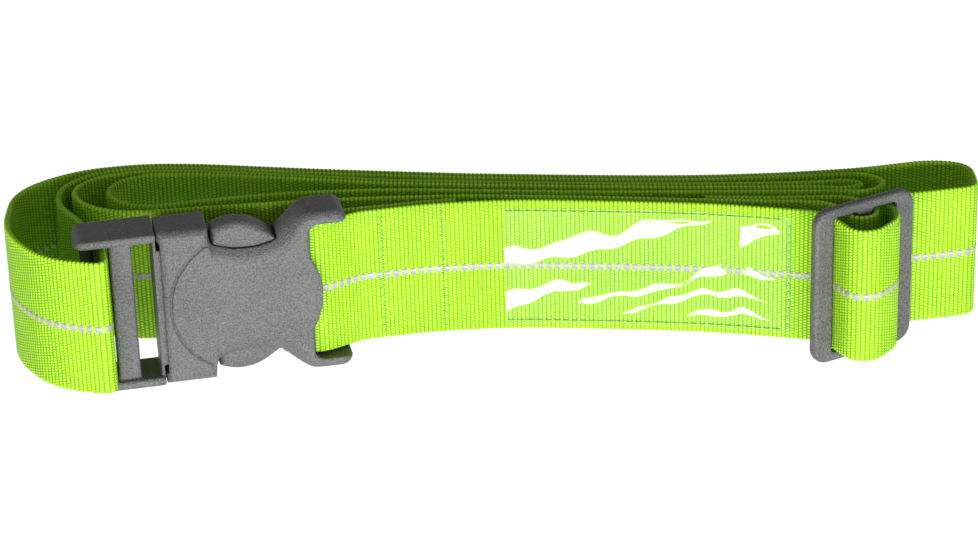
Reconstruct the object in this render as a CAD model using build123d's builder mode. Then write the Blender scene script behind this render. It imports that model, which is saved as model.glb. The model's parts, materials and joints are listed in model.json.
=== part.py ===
"""A 38 mm luggage strap, folded flat and standing on its edge.

The strap is one length of webbing.  It starts at the female half of a side-release buckle,
runs through a three-bar slider, folds back and forth in seven layers, carries the male half of
the buckle on the way, and ends sewn round the slider's centre bar.

Everything is drawn on a bench frame in millimetres: X along the strap, Y away from its front,
Z up, with the webbing's lower edge at Z = 0.  At the end the whole strap is leaned back onto
the edges it rests on, and its origin is put at the middle of its footprint.
"""

from build123d import *
import os
from math import cos, radians, sin, tan

# ------------------------------------------------------------------ driving dimensions

# Webbing
WEB_WIDTH = 38.0
WEB_THICK = 1.6
WEB_GAP = 0.35          # air between two layers that lie together
EDGE_CLEARANCE = 0.6    # webbing edge to the end of a slot

# Side-release buckle, on its own axis: u from the mouth of the female half, n towards the front
BUCKLE_AT = (-86.0, -8.6)
BUCKLE_YAW = 10.8
BUCKLE_THICK = 13.4
BUCKLE_SIDE = 2.4       # height of a side rail beyond the webbing slot
EDGE_ROUND = 2.6
COLLAR_LENGTH = 13.2
BODY_LENGTH = 36.5
HORN_END = 49.5
HORN_RISE = 0.8
PLATE_THICK = 1.3
SCOOP_DEPTH = 5.2
SCOOP_MIDDLE = 22.0
WINDOW_END = 31.0
BAR_AT = 41.6
BAR_LENGTH = 3.6
BAR_THICK = 3.6
DISC_AT = 22.3
DISC_RADIUS = 19.9
DISC_STEP = 0.6         # height of the disc's face above the body
DISC_THICK = 1.8

# Male half
FRAME_LENGTH = 21.5
PARTING_GAP = 0.3
OUTER_BAR_AT = -17.8
CENTRE_BAR_AT = -9.4
CENTRE_BAR_LENGTH = 5.8
BASE_PLATE = 1.1
KNUCKLE_AT = 4.6
KNUCKLE_RADIUS = 1.6
KNUCKLE_PLAY = 0.05
PRONG_HEIGHT = 13.8     # arm's centre above the buckle axis
PRONG_ARM = 2.6
PRONG_TIP = 32.0
PRONG_PLAY = 0.3
GUIDE_LENGTH = 26.0
GUIDE_HEIGHT = 4.4

# Slider, on its own axis: s along it from its centre, n towards the front
SLIDER_AT = (97.0, -7.2)
SLIDER_YAW = 27.7
SLIDER_LENGTH = 30.5
SLIDER_THICK = 3.0
SLIDER_RAIL = 2.6
SLIDER_BAR = 4.3        # centre bar
SLIDER_SIDE_BAR = 5.6   # each of the two outer bars
SLIDER_CORNER = 4.5

# Sewn details
FILM_THICK = 0.4
FILM_MARGIN = 2.0
FILM_START = 4.0
FILM_END = 79.5
THREAD = 0.4
LAY = 0.08              # air under a film or a thread that lies on the webbing
BARTACK_WIDTH = 1.8
BARTACK_INSET = 2.0
BARTACK_AT = (-28.0, -12.0)

# How the strap rests
REST_LEAN = 9.6
REST_ROLL = 0.6

# ------------------------------------------------------------------ derived dimensions

AXIS_Z = WEB_WIDTH / 2
PITCH = WEB_THICK + WEB_GAP
SLOT_HALF = WEB_WIDTH / 2 + EDGE_CLEARANCE
BUCKLE_HALF = SLOT_HALF + BUCKLE_SIDE
CAVITY_THICK = BUCKLE_THICK - 2 * PLATE_THICK
CAVITY_HALF = SLOT_HALF - 0.6
PRONG_THICK = CAVITY_THICK - 2 * PRONG_PLAY
SLIDER_HALF = SLOT_HALF + SLIDER_RAIL


def local_frame(at, yaw):
    """A plane facing the front: X along the piece, Y up, Z (n) out towards the front."""
    return Plane(
        origin=(at[0], at[1], AXIS_Z),
        x_dir=(cos(radians(yaw)), sin(radians(yaw)), 0),
        z_dir=(sin(radians(yaw)), -cos(radians(yaw)), 0),
    )


buckle = local_frame(BUCKLE_AT, BUCKLE_YAW)
slider = local_frame(SLIDER_AT, SLIDER_YAW)


def seen_from_above(frame, *points):
    """Points along and in front of a frame, as (x, y) on the bench."""
    placed = [frame.from_local_coords((along, 0, front)) for along, front in points]
    return [(point.X, point.Y) for point in placed]


def on_run(start, end, x):
    """The point at x on the straight run between two corners."""
    share = (x - start[0]) / (end[0] - start[0])
    return (x, start[1] + share * (end[1] - start[1]))


def shifted(points, back):
    """The same points, moved towards the back of the bench."""
    return [(x, y + back) for x, y in points]


def largest_bends(points, share=0.45):
    """For each corner, the largest radius that leaves its two runs their straight middles."""
    radii = []
    for before, corner, after in zip(points, points[1:], points[2:]):
        run_in = Vector(*corner) - Vector(*before)
        run_out = Vector(*after) - Vector(*corner)
        half_turn = radians(run_in.get_angle(run_out)) / 2
        radii.append(share * min(run_in.length, run_out.length) / tan(half_turn))
    return radii


def band(points, thick, low, high):
    """A band standing on edge, from its centre line seen from above."""
    with BuildPart() as piece:
        with BuildSketch(Plane.XY.offset(low)):
            with BuildLine():
                if len(points) > 2:
                    FilletPolyline(*points, radius=largest_bends(points))
                else:
                    Line(*points)
            trace(line_width=thick)
        extrude(amount=high - low)
    return piece


def webbing(points):
    """A length of webbing at its full width."""
    return band(points, WEB_THICK, 0, WEB_WIDTH)


# ------------------------------------------------------------------ route of the webbing
# Corners of the centre line, seen from above.  Corners near the buckle move with BUCKLE_AT
# and corners near the slider with SLIDER_AT.


def by_buckle(*points):
    return [(BUCKLE_AT[0] + dx, y) for dx, y in points]


def by_slider(*points):
    return [(SLIDER_AT[0] + dx, y) for dx, y in points]


LEFT_CUT = -10.0     # where the left-hand loops end and the middle of the pack begins
RIGHT_CUT = SLIDER_AT[0] - 17.0

# Outermost back layer, right to left
OUTER_MIDDLE = [(57.0, 17.0), (30.0, 19.0), (-4.0, 22.6), (-42.0, 27.9)]
OUTER_RIGHT = by_slider((31.4, 5.8), (31.2, 19.5), (21.0, 22.2), (2.0, 18.5), (-19.0, 17.1))
OUTER_LEFT = by_buckle(
    (9.0, 34.0), (-6.0, 35.2), (-24.0, 32.4), (-39.3, 21.0), (-39.7, -3.0), (-28.0, -19.8)
)

# Second layer lies against it and folds back at the right behind the slider
SECOND_MIDDLE = shifted(OUTER_MIDDLE, -PITCH)
SECOND_LEFT = by_buckle(
    (9.0, 34.0 - PITCH), (-6.0, 35.2 - PITCH), (-19.5, 30.9), (-27.4, 22.6), (-27.0, 12.4)
)
SECOND_FOLD = by_slider((-10.0, 19.5 - 2 * PITCH), (3.0, 16.0), (8.6, 10.6), (4.0, 5.2), (-10.0, 5.9))

# Third and fourth layers lie together and are joined by the inner right-hand fold
THIRD_MIDDLE = [(58.0, 12.3), (25.0, 15.0), (-25.0, 20.6), (-42.0, 27.8 - 2 * PITCH)]
THIRD_FOLD = by_slider((-10.0, 11.4), (-2.0, 12.2), (3.4, 9.7), (-2.0, 7.4), (-10.0, 8.6))
THIRD_LEFT = by_buckle(
    (9.0, 34.0 - 2 * PITCH),
    (-6.0, 35.2 - 2 * PITCH),
    (-18.0, 28.6),
    (-24.4, 21.0),
    (-20.8, 12.0),
    (-12.0, 6.7),
    (-2.0, 6.2),
    (16.0, 7.9),
)
FOURTH_MIDDLE = shifted(THIRD_MIDDLE, -PITCH)
FOURTH_LEFT = by_buckle(
    (9.0, 34.0 - 3 * PITCH),
    (-4.0, 35.0 - 3 * PITCH),
    (-12.2, 25.4),
    (-14.8, 19.4),
    (-11.0, 12.2),
    (-2.5, 9.0),
    (13.0, 12.3),
)

# Fifth layer comes forward from the second fold, sixth from the third layer's left-hand loop
FIFTH_MIDDLE = [(58.0, 7.7), (25.0, 9.9), (-25.0, 15.1), (-49.0, 15.2)]
SIXTH_MIDDLE = [(58.0, 2.5), (25.0, 6.9), (-5.0, 9.8), (-28.0, 10.3), (-49.0, 9.7)]

# Front run, with the sewn return behind its left end
FRONT_RUN = [(-34.0, 1.9), (-16.0, 5.2), (6.0, 6.3), (36.0, 3.0), (58.0, 0.2)]
RETURN_END_X = -8.0

# Corners beside the slider, where the front run, the sewn end and the tail meet it
slot_gap = (SLIDER_LENGTH - 2 * SLIDER_SIDE_BAR - SLIDER_BAR) / 2
bridge_side = SLIDER_BAR / 2 + slot_gap - WEB_THICK / 2 - 0.5
anchor_side = SLIDER_BAR / 2 + WEB_THICK / 2 + 0.9
anchor_front = SLIDER_THICK / 2 + WEB_THICK / 2 + 1.0
BRIDGE_FOOT, ANCHOR_FOOT, TAIL_FOOT, BRIDGE_EXIT = seen_from_above(
    slider,
    (-bridge_side, -4.8),
    (-anchor_side, -9.4),
    (anchor_side, -8.6),
    (bridge_side, -5.2),
)
FRONT_EXIT = on_run(FRONT_RUN[-1], BRIDGE_FOOT, RIGHT_CUT)
SIXTH_EXIT = on_run(SIXTH_MIDDLE[0], ANCHOR_FOOT, RIGHT_CUT)
TAIL_MIDDLE = (70.0, 3.2)
TAIL_EXIT = on_run(TAIL_MIDDLE, TAIL_FOOT, RIGHT_CUT)


def on_front_run(x):
    """The front run's centre line at x, on the straight run between its corners."""
    corners = FRONT_RUN + [FRONT_EXIT]
    for start, end in zip(corners, corners[1:]):
        if start[0] <= x <= end[0]:
            return on_run(start, end, x)
    raise ValueError("off the front run")


# ------------------------------------------------------------------ webbing at the buckle

bar_front = BAR_THICK / 2 + WEB_THICK / 2 + 0.7
bar_left = BAR_AT - BAR_LENGTH / 2 - WEB_THICK / 2 - 0.3
loop_start = seen_from_above(buckle, (bar_left + 4.6, bar_front), (bar_left, bar_front))
loop_end = seen_from_above(buckle, (bar_left, -bar_front), (bar_left + 4.6, -bar_front))
front_cut = on_run(FRONT_RUN[0], FRONT_RUN[1], -30.0)
behind_front = shifted([on_front_run(x) for x in (-27.0, -16.0, RETURN_END_X)], PITCH)
buckle_loop = webbing([front_cut, FRONT_RUN[0]] + loop_start + loop_end + behind_front)

front_run = webbing([front_cut] + FRONT_RUN[1:] + [FRONT_EXIT])

# The male half's outer bar: in through the first slot, round the bar and away to the back
first_slot = OUTER_BAR_AT + BAR_LENGTH / 2 + WEB_THICK / 2 + 1.3
wrap_head, wrap_start = seen_from_above(buckle, (first_slot, 13.5), (first_slot, 6.0))
wrap_corners = seen_from_above(
    buckle, (first_slot, -bar_front), (first_slot - 4.1, -bar_front), (first_slot - 3.4, -13.0)
)
wrap_end = on_run(wrap_corners[1], wrap_corners[2], (wrap_corners[1][0] + wrap_corners[2][0]) / 2)
male_bar_wrap = webbing([wrap_start] + wrap_corners[:2] + [wrap_end])

left_loop_outer = webbing(
    [on_run(OUTER_MIDDLE[2], OUTER_MIDDLE[3], LEFT_CUT), OUTER_MIDDLE[3]]
    + OUTER_LEFT
    + [wrap_head, wrap_start]
)
left_loop_second = webbing(
    [on_run(SECOND_MIDDLE[2], SECOND_MIDDLE[3], LEFT_CUT), SECOND_MIDDLE[3]]
    + SECOND_LEFT
    + [wrap_corners[2], wrap_end]
)

# ------------------------------------------------------------------ the folded pack

left_loop_third = webbing(
    [on_run(THIRD_MIDDLE[1], THIRD_MIDDLE[2], LEFT_CUT)]
    + THIRD_MIDDLE[2:]
    + THIRD_LEFT
    + SIXTH_MIDDLE[:2:-1]
    + [on_run(SIXTH_MIDDLE[2], SIXTH_MIDDLE[3], LEFT_CUT)]
)
left_loop_inner = webbing(
    [on_run(FOURTH_MIDDLE[1], FOURTH_MIDDLE[2], LEFT_CUT)]
    + FOURTH_MIDDLE[2:]
    + FOURTH_LEFT
    + FIFTH_MIDDLE[:1:-1]
    + [on_run(FIFTH_MIDDLE[1], FIFTH_MIDDLE[2], LEFT_CUT)]
)
middle_fold_second = webbing(
    [on_run(SECOND_MIDDLE[2], SECOND_MIDDLE[3], LEFT_CUT)]
    + SECOND_MIDDLE[2::-1]
    + SECOND_FOLD
    + FIFTH_MIDDLE[:2]
    + [on_run(FIFTH_MIDDLE[1], FIFTH_MIDDLE[2], LEFT_CUT)]
)
middle_fold_third = webbing(
    [on_run(THIRD_MIDDLE[1], THIRD_MIDDLE[2], LEFT_CUT)]
    + THIRD_MIDDLE[1::-1]
    + THIRD_FOLD
    + FOURTH_MIDDLE[:2]
    + [on_run(FOURTH_MIDDLE[1], FOURTH_MIDDLE[2], LEFT_CUT)]
)
outer_back_run = webbing(
    [on_run(OUTER_MIDDLE[2], OUTER_MIDDLE[3], LEFT_CUT)]
    + OUTER_MIDDLE[2::-1]
    + [OUTER_RIGHT[4], on_run(OUTER_RIGHT[4], OUTER_RIGHT[3], RIGHT_CUT + 6)]
)

# ------------------------------------------------------------------ webbing at the slider

anchor_loop = webbing(
    [SIXTH_EXIT, ANCHOR_FOOT]
    + seen_from_above(slider, (-anchor_side, anchor_front), (anchor_side, anchor_front))
    + [TAIL_FOOT, TAIL_EXIT]
)
sewn_end_run = webbing(
    [on_run(SIXTH_MIDDLE[2], SIXTH_MIDDLE[3], LEFT_CUT)] + SIXTH_MIDDLE[2::-1] + [SIXTH_EXIT]
)
sewn_tail = webbing([(57.0, 2.5 + PITCH + 0.3), TAIL_MIDDLE, TAIL_EXIT])

LOOP_CORNER = by_slider((21.0, 3.8))[0]
exit_cut = on_run(BRIDGE_EXIT, LOOP_CORNER, SLIDER_AT[0] + 12.0)
slider_bridge = webbing(
    [FRONT_EXIT, BRIDGE_FOOT]
    + seen_from_above(slider, (-bridge_side, 8.8), (-3.0, 11.4), (bridge_side - 0.4, 7.0))
    + [BRIDGE_EXIT, exit_cut]
)
loop_cut = on_run(LOOP_CORNER, OUTER_RIGHT[0], SLIDER_AT[0] + 26.0)
back_cut = on_run(OUTER_RIGHT[4], OUTER_RIGHT[3], RIGHT_CUT + 6)
loop_front = webbing([exit_cut, LOOP_CORNER, loop_cut])
right_loop = webbing([loop_cut] + OUTER_RIGHT[:4] + [back_cut])

# ------------------------------------------------------------------ female half of the buckle

scoop_floor = BUCKLE_HALF - SCOOP_DEPTH
scoop_start = (COLLAR_LENGTH + 0.8, scoop_floor + 1.6)
scoop_end = (WINDOW_END - 0.6, scoop_floor + 1.4)
horn_top = BUCKLE_HALF + HORN_RISE

mouth = Plane(buckle.origin, x_dir=buckle.y_dir, z_dir=buckle.x_dir)

with BuildPart() as female_buckle:
    # Rounded bar of the collar and waist, then a slightly taller one for the horns
    with BuildSketch(mouth):
        RectangleRounded(2 * BUCKLE_HALF, BUCKLE_THICK, EDGE_ROUND)
    extrude(amount=WINDOW_END)
    with BuildSketch(mouth.offset(WINDOW_END)):
        RectangleRounded(2 * horn_top, BUCKLE_THICK, EDGE_ROUND)
    extrude(amount=HORN_END - WINDOW_END)
    # Front outline: collar, a scoop at each button, and the horns
    with BuildSketch(buckle.offset(-BUCKLE_THICK)):
        with BuildLine():
            Polyline((0, 0), (0, horn_top), (COLLAR_LENGTH, horn_top), scoop_start)
            ThreePointArc(scoop_start, (SCOOP_MIDDLE, scoop_floor), scoop_end)
            Line(scoop_end, (WINDOW_END + 6.0, horn_top))
            Line((WINDOW_END + 6.0, horn_top), (HORN_END - 2.6, horn_top))
            ThreePointArc(
                (HORN_END - 2.6, horn_top),
                (HORN_END - 0.7, horn_top - 0.9),
                (HORN_END, SLOT_HALF),
            )
            Polyline((HORN_END, SLOT_HALF), (HORN_END, 0), (0, 0))
        make_face()
        mirror(about=Plane.XZ)
    extrude(amount=2 * BUCKLE_THICK, mode=Mode.INTERSECT)
    # Open end between the horns, for the webbing
    with BuildSketch(buckle.offset(-BUCKLE_THICK)):
        with Locations(((BODY_LENGTH + HORN_END + 5) / 2, 0)):
            Rectangle(HORN_END + 5 - BODY_LENGTH, 2 * SLOT_HALF)
    extrude(amount=2 * BUCKLE_THICK, mode=Mode.SUBTRACT)
    # Cavity for the prongs, open at the mouth and, behind the collar, at both sides
    with BuildSketch(buckle.offset(-CAVITY_THICK / 2)):
        with Locations((WINDOW_END / 2, 0)):
            Rectangle(WINDOW_END, 2 * CAVITY_HALF)
        with Locations((WINDOW_END, 0)):
            Rectangle(2 * (PRONG_TIP + 1 - WINDOW_END), 2 * (PRONG_HEIGHT + 2.4))
    extrude(amount=CAVITY_THICK, mode=Mode.SUBTRACT)
    # Bar that the webbing is sewn round
    with BuildSketch(buckle.offset(-BAR_THICK / 2)):
        with Locations((BAR_AT, 0)):
            Rectangle(BAR_LENGTH, 2 * SLOT_HALF + 1)
    extrude(amount=BAR_THICK)
    # Round disc on the front, overhanging the webbing
    with BuildSketch(buckle.offset(BUCKLE_THICK / 2 + DISC_STEP - DISC_THICK)):
        with Locations((DISC_AT, 0)):
            Circle(DISC_RADIUS)
    extrude(amount=DISC_THICK)
    disc_face = female_buckle.faces().sort_by(Axis(buckle.origin, buckle.z_dir))[-1]
    fillet(disc_face.edges(), 0.6 * DISC_STEP)

# ------------------------------------------------------------------ male half of the buckle

with BuildPart() as male_buckle:
    # Two side rails
    with BuildSketch(mouth.offset(-PARTING_GAP)):
        RectangleRounded(2 * BUCKLE_HALF, BUCKLE_THICK, EDGE_ROUND)
    extrude(amount=-(FRAME_LENGTH - PARTING_GAP))
    with BuildSketch(buckle.offset(-BUCKLE_THICK)):
        with Locations((-(FRAME_LENGTH + 5 + PARTING_GAP) / 2, 0)):
            Rectangle(FRAME_LENGTH + 5, 2 * SLOT_HALF)
    extrude(amount=2 * BUCKLE_THICK, mode=Mode.SUBTRACT)
    # Outer bar and centre bar
    with BuildSketch(buckle.offset(-BAR_THICK / 2)):
        with Locations((OUTER_BAR_AT, 0)):
            Rectangle(BAR_LENGTH, 2 * SLOT_HALF + 1)
    extrude(amount=BAR_THICK)
    with BuildSketch(buckle.offset(-BAR_THICK / 2)):
        with Locations((CENTRE_BAR_AT, 0)):
            Rectangle(CENTRE_BAR_LENGTH, 2 * SLOT_HALF + 1)
    extrude(amount=BAR_THICK / 2 + 4.6)
    # Base plate across the mouth, with the prongs' sockets
    with BuildSketch(buckle.offset(-CAVITY_THICK / 2 + PRONG_PLAY)):
        with Locations((-(BASE_PLATE + PARTING_GAP) / 2, 0)):
            Rectangle(BASE_PLATE - PARTING_GAP, 2 * SLOT_HALF + 1)
        with Locations(((KNUCKLE_AT - BASE_PLATE) / 2, 0)):
            Rectangle(KNUCKLE_AT + BASE_PLATE, 2 * (PRONG_HEIGHT + KNUCKLE_RADIUS + 1.2))
        with Locations((KNUCKLE_AT, PRONG_HEIGHT), (KNUCKLE_AT, -PRONG_HEIGHT)):
            Circle(KNUCKLE_RADIUS + KNUCKLE_PLAY, mode=Mode.SUBTRACT)
    extrude(amount=CAVITY_THICK - 2 * PRONG_PLAY)
    # Guide blade between the prongs
    with BuildSketch(buckle.offset(-CAVITY_THICK / 2 + 1)):
        with BuildLine():
            Polyline(
                (KNUCKLE_AT - 1, -GUIDE_HEIGHT / 2),
                (GUIDE_LENGTH - 4, -GUIDE_HEIGHT / 2),
                (GUIDE_LENGTH, -GUIDE_HEIGHT / 4),
                (GUIDE_LENGTH, GUIDE_HEIGHT / 4),
                (GUIDE_LENGTH - 4, GUIDE_HEIGHT / 2),
                (KNUCKLE_AT - 1, GUIDE_HEIGHT / 2),
                close=True,
            )
        make_face()
    extrude(amount=CAVITY_THICK - 2)


def prong(side):
    """One sprung arm with its button; side is +1 for the upper and -1 for the lower."""
    shoulder = COLLAR_LENGTH + 1.1
    inner = PRONG_HEIGHT - PRONG_ARM / 2
    outer = PRONG_HEIGHT + PRONG_ARM / 2
    crest = BUCKLE_HALF - 0.6
    with BuildPart() as arm:
        with BuildSketch(buckle.offset(-PRONG_THICK / 2)):
            with BuildLine():
                Polyline(
                    (WINDOW_END - 0.8, side * (outer + 1.6)),
                    (PRONG_TIP, side * (outer - 0.6)),
                    (PRONG_TIP - 0.6, side * inner),
                    (KNUCKLE_AT, side * inner),
                    (KNUCKLE_AT, side * outer),
                    (shoulder, side * (outer + 0.6)),
                    (shoulder, side * (crest - 1.4)),
                )
                ThreePointArc(
                    (shoulder, side * (crest - 1.4)),
                    ((shoulder + WINDOW_END) / 2 - 0.6, side * crest),
                    (WINDOW_END - 0.8, side * (outer + 1.6)),
                )
            make_face()
            with Locations((KNUCKLE_AT, side * PRONG_HEIGHT)):
                Circle(KNUCKLE_RADIUS)
        extrude(amount=PRONG_THICK)
    return arm


upper_prong = prong(+1)
lower_prong = prong(-1)

# ------------------------------------------------------------------ slider

with BuildPart() as slider_frame:
    with BuildSketch(slider.offset(-SLIDER_THICK / 2)):
        RectangleRounded(SLIDER_LENGTH, 2 * SLIDER_HALF, SLIDER_CORNER)
    extrude(amount=SLIDER_THICK)
    flats = slider_frame.faces().filter_by(Axis(slider.origin, slider.z_dir))
    fillet(flats.edges(), 1.0)
    with BuildSketch(slider.offset(-SLIDER_THICK)):
        with GridLocations(slot_gap + SLIDER_BAR, 1, 2, 1):
            RectangleRounded(slot_gap, 2 * SLOT_HALF, 1.0)
    extrude(amount=2 * SLIDER_THICK, mode=Mode.SUBTRACT)

# ------------------------------------------------------------------ sewn details

FRONT_LINE = [front_cut] + FRONT_RUN[1:] + [FRONT_EXIT]


def on_front_face(depth, thick, low, high, start, end):
    """A thin band lying on the front run's front face, between two places along it."""
    with BuildPart() as layer:
        add(band(shifted(FRONT_LINE, -WEB_THICK / 2 - depth - thick / 2), thick, low, high).part)
        split(bisect_by=Plane.YZ.offset(start), keep=Keep.TOP)
        split(bisect_by=Plane.YZ.offset(end), keep=Keep.BOTTOM)
    return layer


film_low = FILM_MARGIN
film_high = WEB_WIDTH - FILM_MARGIN
id_window = on_front_face(LAY, FILM_THICK, film_low, film_high, FILM_START, FILM_END)

thread_depth = FILM_THICK + 2 * LAY
seam_end = FILM_END - 0.8
with BuildPart() as window_stitching:
    for height in (film_low + 0.6, film_high - 0.6 - THREAD):
        row = on_front_face(
            thread_depth, THREAD, height, height + THREAD, FILM_START + 0.8, seam_end - 1.2
        )
        add(row.part)
    seam = on_front_face(
        thread_depth, THREAD, film_low + 0.6, film_high - 0.6, seam_end - THREAD, seam_end
    )
    add(seam.part)


def bartack(x):
    """A dense row of stitches standing on the front face of the front run."""
    return on_front_face(
        LAY,
        THREAD,
        BARTACK_INSET,
        WEB_WIDTH - BARTACK_INSET,
        x - BARTACK_WIDTH / 2,
        x + BARTACK_WIDTH / 2,
    )


bartack_by_buckle = bartack(BARTACK_AT[0])
bartack_at_return = bartack(BARTACK_AT[1])

# ------------------------------------------------------------------ set down and write

PIECES = {
    "female_buckle": female_buckle,
    "male_buckle": male_buckle,
    "upper_prong": upper_prong,
    "lower_prong": lower_prong,
    "slider_frame": slider_frame,
    "buckle_loop": buckle_loop,
    "front_run": front_run,
    "slider_bridge": slider_bridge,
    "loop_front": loop_front,
    "right_loop": right_loop,
    "outer_back_run": outer_back_run,
    "left_loop_outer": left_loop_outer,
    "male_bar_wrap": male_bar_wrap,
    "left_loop_second": left_loop_second,
    "middle_fold_second": middle_fold_second,
    "left_loop_inner": left_loop_inner,
    "middle_fold_third": middle_fold_third,
    "left_loop_third": left_loop_third,
    "sewn_end_run": sewn_end_run,
    "anchor_loop": anchor_loop,
    "sewn_tail": sewn_tail,
    "id_window": id_window,
    "window_stitching": window_stitching,
    "bartack_by_buckle": bartack_by_buckle,
    "bartack_at_return": bartack_at_return,
}

leaned = Location((0, 0, 0), (-REST_LEAN, REST_ROLL, 0))
leaned_box = Compound([piece.part.moved(leaned) for piece in PIECES.values()]).bounding_box()
footprint = Location((-leaned_box.center().X, -leaned_box.center().Y, -leaned_box.min.Z))
resting = footprint * leaned

os.makedirs("parts", exist_ok=True)
for name, piece in PIECES.items():
    piece.part.label = name
    placed = piece.part.moved(resting)
    placed.label = name
    export_step(placed, f"parts/{name}.step")
print("origin on the bench", tuple(resting.inverse().position))
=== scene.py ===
"""Looks for a folded luggage strap: woven webbing, moulded buckle and slider, sewn ID window."""

import json
from math import atan2, cos, pi, radians, sin, tan

import bmesh
import bpy
import numpy as np
from mathutils import Matrix, Vector


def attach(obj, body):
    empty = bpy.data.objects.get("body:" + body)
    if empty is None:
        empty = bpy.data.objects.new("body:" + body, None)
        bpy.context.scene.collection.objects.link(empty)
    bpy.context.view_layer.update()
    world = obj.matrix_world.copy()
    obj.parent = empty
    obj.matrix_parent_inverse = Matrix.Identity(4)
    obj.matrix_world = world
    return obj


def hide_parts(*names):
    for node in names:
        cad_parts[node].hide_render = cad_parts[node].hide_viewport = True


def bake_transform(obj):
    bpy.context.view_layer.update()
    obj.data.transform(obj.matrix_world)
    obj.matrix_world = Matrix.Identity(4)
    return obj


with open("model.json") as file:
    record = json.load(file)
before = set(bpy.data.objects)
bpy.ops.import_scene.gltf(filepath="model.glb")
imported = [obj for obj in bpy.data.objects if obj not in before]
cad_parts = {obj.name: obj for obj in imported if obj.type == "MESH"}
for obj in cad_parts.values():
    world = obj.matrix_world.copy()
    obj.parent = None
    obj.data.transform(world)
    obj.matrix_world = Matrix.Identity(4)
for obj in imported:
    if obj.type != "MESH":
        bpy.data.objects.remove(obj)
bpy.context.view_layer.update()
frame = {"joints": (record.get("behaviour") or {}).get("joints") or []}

# ------------------------------------------------------------------ sizes, in mm, as in the CAD

WEB_WIDTH = 38.0
WEB_THICK = 1.6
WEB_GAP = 0.35
BUCKLE_AT = (-86.0, -8.6)
BUCKLE_YAW = 10.8
BUCKLE_THICK = 13.4
BUCKLE_SIDE = 2.4
SLOT_HALF = 19.6
COLLAR_LENGTH = 13.2
BODY_LENGTH = 36.5
HORN_END = 49.5
HORN_RISE = 0.8
PLATE_THICK = 1.3
WINDOW_END = 31.0
BAR_AT = 41.6
BAR_THICK = 3.6
BAR_LENGTH = 3.6
DISC_AT = 22.3
DISC_RADIUS = 19.9
FRAME_LENGTH = 21.5
PARTING_GAP = 0.3
OUTER_BAR_AT = -17.8
CENTRE_BAR_AT = -9.4
CENTRE_BAR_LENGTH = 5.8
BASE_PLATE = 1.1
KNUCKLE_AT = 4.6
KNUCKLE_RADIUS = 1.6
PRONG_HEIGHT = 13.8
PRONG_ARM = 2.6
PRONG_TIP = 32.0
PRONG_PLAY = 0.3
GUIDE_LENGTH = 26.0
GUIDE_HEIGHT = 4.4
SLIDER_AT = (97.0, -7.2)
SLIDER_YAW = 27.7
SLIDER_LENGTH = 30.5
SLIDER_THICK = 3.0
SLIDER_BAR = 4.3
SLIDER_SIDE_BAR = 5.6
SLIDER_HALF = 22.2
SLIDER_CORNER = 4.5
FILM_THICK = 0.4
FILM_MARGIN = 2.0
FILM_START = 4.0
FILM_END = 79.5
BARTACK_AT = (-28.0, -12.0)
REST_LEAN = 9.6
REST_ROLL = 0.6

AXIS_Z = WEB_WIDTH / 2
PITCH = WEB_THICK + WEB_GAP
BUCKLE_HALF = SLOT_HALF + BUCKLE_SIDE
CAVITY_THICK = BUCKLE_THICK - 2 * PLATE_THICK

# ------------------------------------------------------------------ bench frame and row frame

MM = 0.001
LEAN = np.array(
    Matrix.Rotation(radians(-REST_LEAN), 3, "X") @ Matrix.Rotation(radians(REST_ROLL), 3, "Y")
)


class LocalFrame:
    """A frame on the bench: u along the piece, v up, n out towards the front."""

    def __init__(self, at, yaw):
        self.origin = np.array([at[0], at[1], AXIS_Z])
        self.u = np.array([cos(radians(yaw)), sin(radians(yaw)), 0.0])
        self.v = np.array([0.0, 0.0, 1.0])
        self.n = np.array([sin(radians(yaw)), -cos(radians(yaw)), 0.0])

    def bench(self, points):
        points = np.asarray(points, float)
        return (
            self.origin
            + points[..., :1] * self.u
            + points[..., 1:2] * self.v
            + points[..., 2:3] * self.n
        )


buckle = LocalFrame(BUCKLE_AT, BUCKLE_YAW)
slider = LocalFrame(SLIDER_AT, SLIDER_YAW)

hinge = next(joint for joint in frame["joints"] if joint["name"] == "squeeze_upper")
hinge_on_bench = buckle.bench([KNUCKLE_AT, PRONG_HEIGHT, 0.0])
ORIGIN = hinge_on_bench - LEAN.T @ (np.array(hinge["pos_m"]) / MM)


def to_row(points):
    """Bench points in mm, as points of the row frame in metres."""
    return (np.asarray(points, float) - ORIGIN) @ LEAN.T * MM


# ------------------------------------------------------------------ mesh helpers


def new_object(name, points, faces, smooth=True):
    """A mesh object from bench points."""
    mesh = bpy.data.meshes.new(name)
    points = to_row(points)
    faces = np.asarray(faces)
    mesh.from_pydata(points.tolist(), [], faces.tolist())
    mesh.polygons.foreach_set("use_smooth", [smooth] * len(mesh.polygons))
    mesh.update()
    obj = bpy.data.objects.new(name, mesh)
    bpy.context.scene.collection.objects.link(obj)
    return obj


def smoothstep(low, high, x):
    t = np.clip((x - low) / (high - low), 0, 1)
    return t * t * (3 - 2 * t)


def round_max(a, b, radius):
    """Where two fields overlap, with the outer edge rounded to a radius."""
    inner = np.minimum(np.maximum(a + radius, b + radius), 0)
    return inner + np.hypot(np.maximum(a + radius, 0), np.maximum(b + radius, 0)) - radius


def join(a, b, radius):
    """Two fields together, with a fillet of a radius where they meet."""
    return -round_max(-a, -b, radius)


def cut(a, b, radius):
    """Field a with field b taken away."""
    return round_max(a, -b, radius)


def bar(x, y, half_x, half_y, radius):
    """A rounded rectangle, seen along a bar."""
    return round_max(abs(x) - half_x, abs(y) - half_y, radius)


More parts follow.
